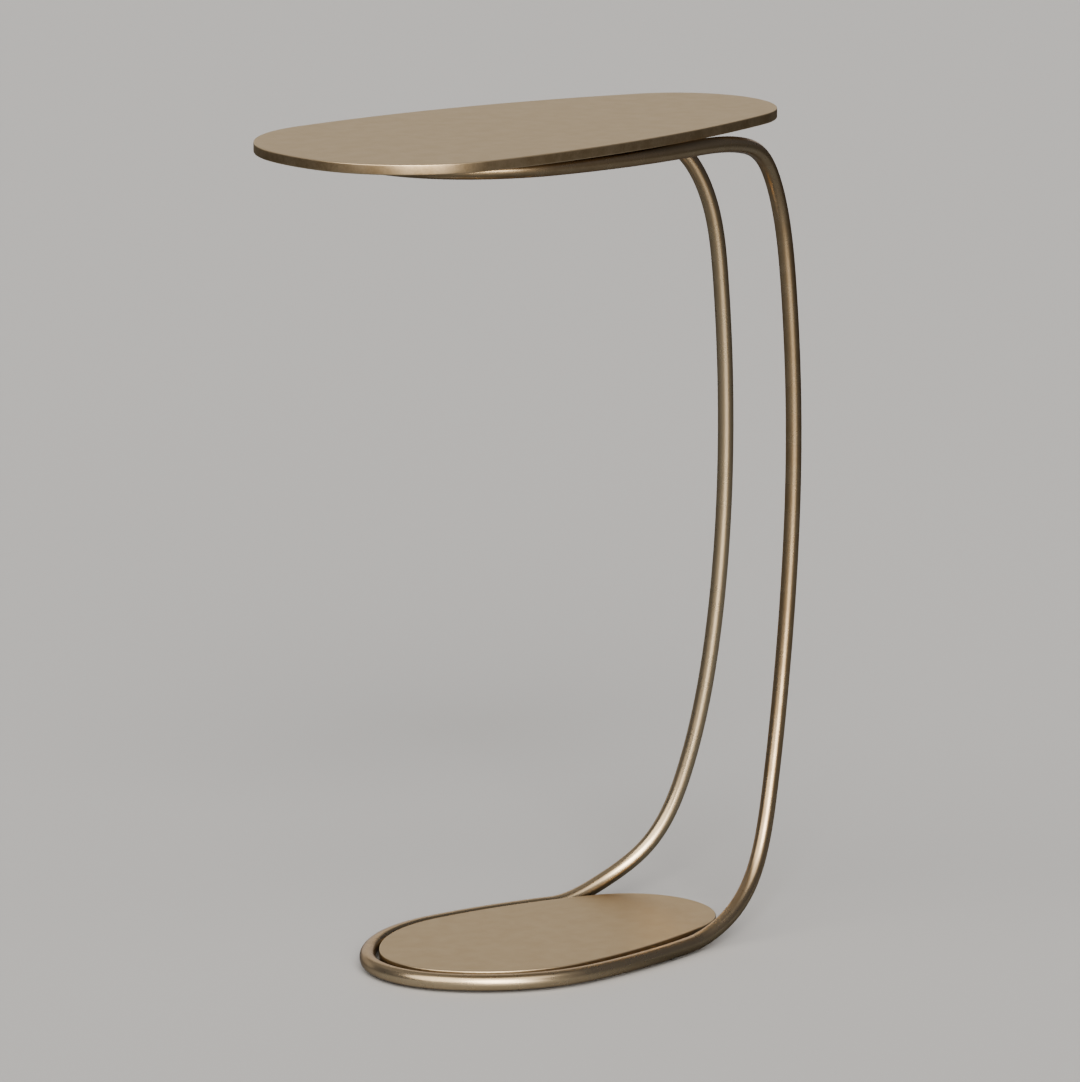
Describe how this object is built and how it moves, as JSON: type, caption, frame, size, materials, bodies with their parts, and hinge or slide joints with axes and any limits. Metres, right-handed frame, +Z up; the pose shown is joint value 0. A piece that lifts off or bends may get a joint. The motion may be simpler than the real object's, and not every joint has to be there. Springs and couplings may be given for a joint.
{
  "type": "c-shaped side table",
  "caption": "C-shaped slide-over side table with an egg-shaped metal top, bowed twin tube uprights and a weighted base plate held in a floor loop.",
  "frame": {"origin": "on the floor, under the middle of the table's overall box", "axes": "+Z up, +X towards the uprights, -Y the front; the XZ plane is the mirror plane"},
  "size_m": [0.4834, 0.2336, 0.6594],
  "materials": {
    "bronze_plate": "satin antique bronze plating",
    "bronze_tube": "burnished antique bronze plating",
    "bronze_tab": "dull antique bronze plating",
    "plain_steel": "turned, uncoated",
    "zinc_steel": "zinc plated",
    "black_rubber": "matt"
  },
  "bodies": {
    "root": {"table_top": "bronze_plate", "base_plate": "bronze_plate", "base_loop": "bronze_tube", "upper_loop": "bronze_tube", "front_upright": "bronze_tube", "rear_upright": "bronze_tube", "top_nose_tab": "bronze_tab", "top_front_tab": "bronze_tab", "top_rear_tab": "bronze_tab", "base_nose_tab": "bronze_tab", "base_front_tab": "bronze_tab", "base_rear_tab": "bronze_tab", "base_front_spigot": "plain_steel", "base_rear_spigot": "plain_steel", "upper_front_spigot": "plain_steel", "upper_rear_spigot": "plain_steel", "top_screws": "zinc_steel", "base_screws": "zinc_steel", "nose_front_foot": "black_rubber", "nose_rear_foot": "black_rubber", "heel_front_foot": "black_rubber", "heel_rear_foot": "black_rubber"}
  },
  "joints": []
}
